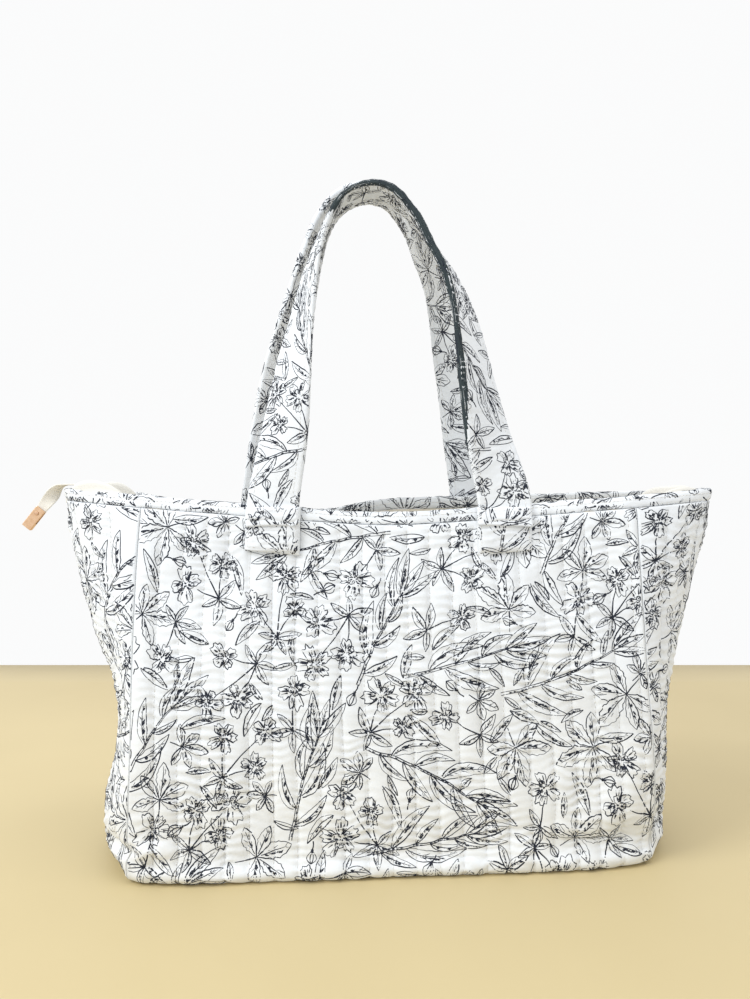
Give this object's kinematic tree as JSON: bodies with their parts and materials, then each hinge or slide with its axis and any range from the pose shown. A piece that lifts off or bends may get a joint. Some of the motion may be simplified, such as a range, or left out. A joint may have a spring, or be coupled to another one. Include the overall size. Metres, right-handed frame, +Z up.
{
  "type": "quilted zip tote, knitting bag",
  "caption": "Soft quilted cloth tote for knitting work: boxed base, side gussets that fold to pointed tips, twin shoulder straps and a full-width zip with a clipped tail.",
  "frame": {"origin": "centre of the base's flat underside", "axes": "+X along the length towards the closed end of the zip, +Z up, -Y to the front"},
  "size_m": [0.5319, 0.1646, 0.5039],
  "materials": {
    "printed_cotton": "matte quilted cotton with a fine dark botanical line print",
    "lining_cotton": "matte cream cotton",
    "wadding": "soft fibre",
    "zip_tape": "cream woven tape with nylon coil",
    "gold_metal": "polished rose gold"
  },
  "bodies": {
    "root": {"front_panel": "printed_cotton", "back_panel": "printed_cotton", "base_panel": "printed_cotton", "left_gusset": "printed_cotton", "right_gusset": "printed_cotton", "front_binding": "printed_cotton", "back_binding": "printed_cotton", "front_left_patch": "printed_cotton", "front_right_patch": "printed_cotton", "back_left_patch": "printed_cotton", "back_right_patch": "printed_cotton", "front_wadding": "wadding", "back_wadding": "wadding", "base_wadding": "wadding", "left_wadding": "wadding", "right_wadding": "wadding", "front_lining": "lining_cotton", "back_lining": "lining_cotton", "base_lining": "lining_cotton", "left_lining": "lining_cotton", "right_lining": "lining_cotton", "zip_closed_end": "zip_tape", "zip_open_end": "zip_tape", "front_closed_coil": "zip_tape", "back_closed_coil": "zip_tape", "front_open_coil": "zip_tape", "back_open_coil": "zip_tape"},
    "front_handle": {"front_handle": "printed_cotton"},
    "back_handle": {"back_handle": "printed_cotton"},
    "front_zip_half": {"front_zip_facing": "lining_cotton", "front_zip_tape": "zip_tape", "front_zip_coil": "zip_tape"},
    "back_zip_half": {"back_zip_facing": "lining_cotton", "back_zip_tape": "zip_tape", "back_zip_coil": "zip_tape"},
    "slider": {"zip_slider": "gold_metal"},
    "pull": {"zip_pull": "gold_metal"},
    "tail": {"zip_tail": "zip_tape", "zip_end_clip": "gold_metal", "clip_screw": "gold_metal"}
  },
  "joints": [
    {"name": "front_handle_fall", "type": "hinge", "parent": "root", "child": "front_handle", "pos_m": [0, -0.0354, 0.2452], "axis": [1, 0, 0], "range_deg": [0, 150]},
    {"name": "back_handle_fall", "type": "hinge", "parent": "root", "child": "back_handle", "pos_m": [0, 0.0354, 0.2533], "axis": [-1, 0, 0], "range_deg": [0, 150]},
    {"name": "front_zip_fold", "type": "hinge", "parent": "root", "child": "front_zip_half", "pos_m": [0, -0.0235, 0.2415], "axis": [-1, 0, 0], "range_deg": [0, 80]},
    {"name": "back_zip_fold", "type": "hinge", "parent": "root", "child": "back_zip_half", "pos_m": [0, 0.0235, 0.2415], "axis": [1, 0, 0], "range_deg": [0, 80]},
    {"name": "slider_travel", "type": "slide", "parent": "root", "child": "slider", "axis": [-1, 0, 0], "range_m": [0, 0.3925]},
    {"name": "pull_flip", "type": "hinge", "parent": "slider", "child": "pull", "pos_m": [0.1985, 0, 0.24575], "axis": [0, -1, 0], "range_deg": [0, 150]},
    {"name": "tail_swing", "type": "hinge", "parent": "root", "child": "tail", "pos_m": [-0.2488, 0, 0.269], "axis": [0, 1, 0], "range_deg": [-25, 40]}
  ]
}
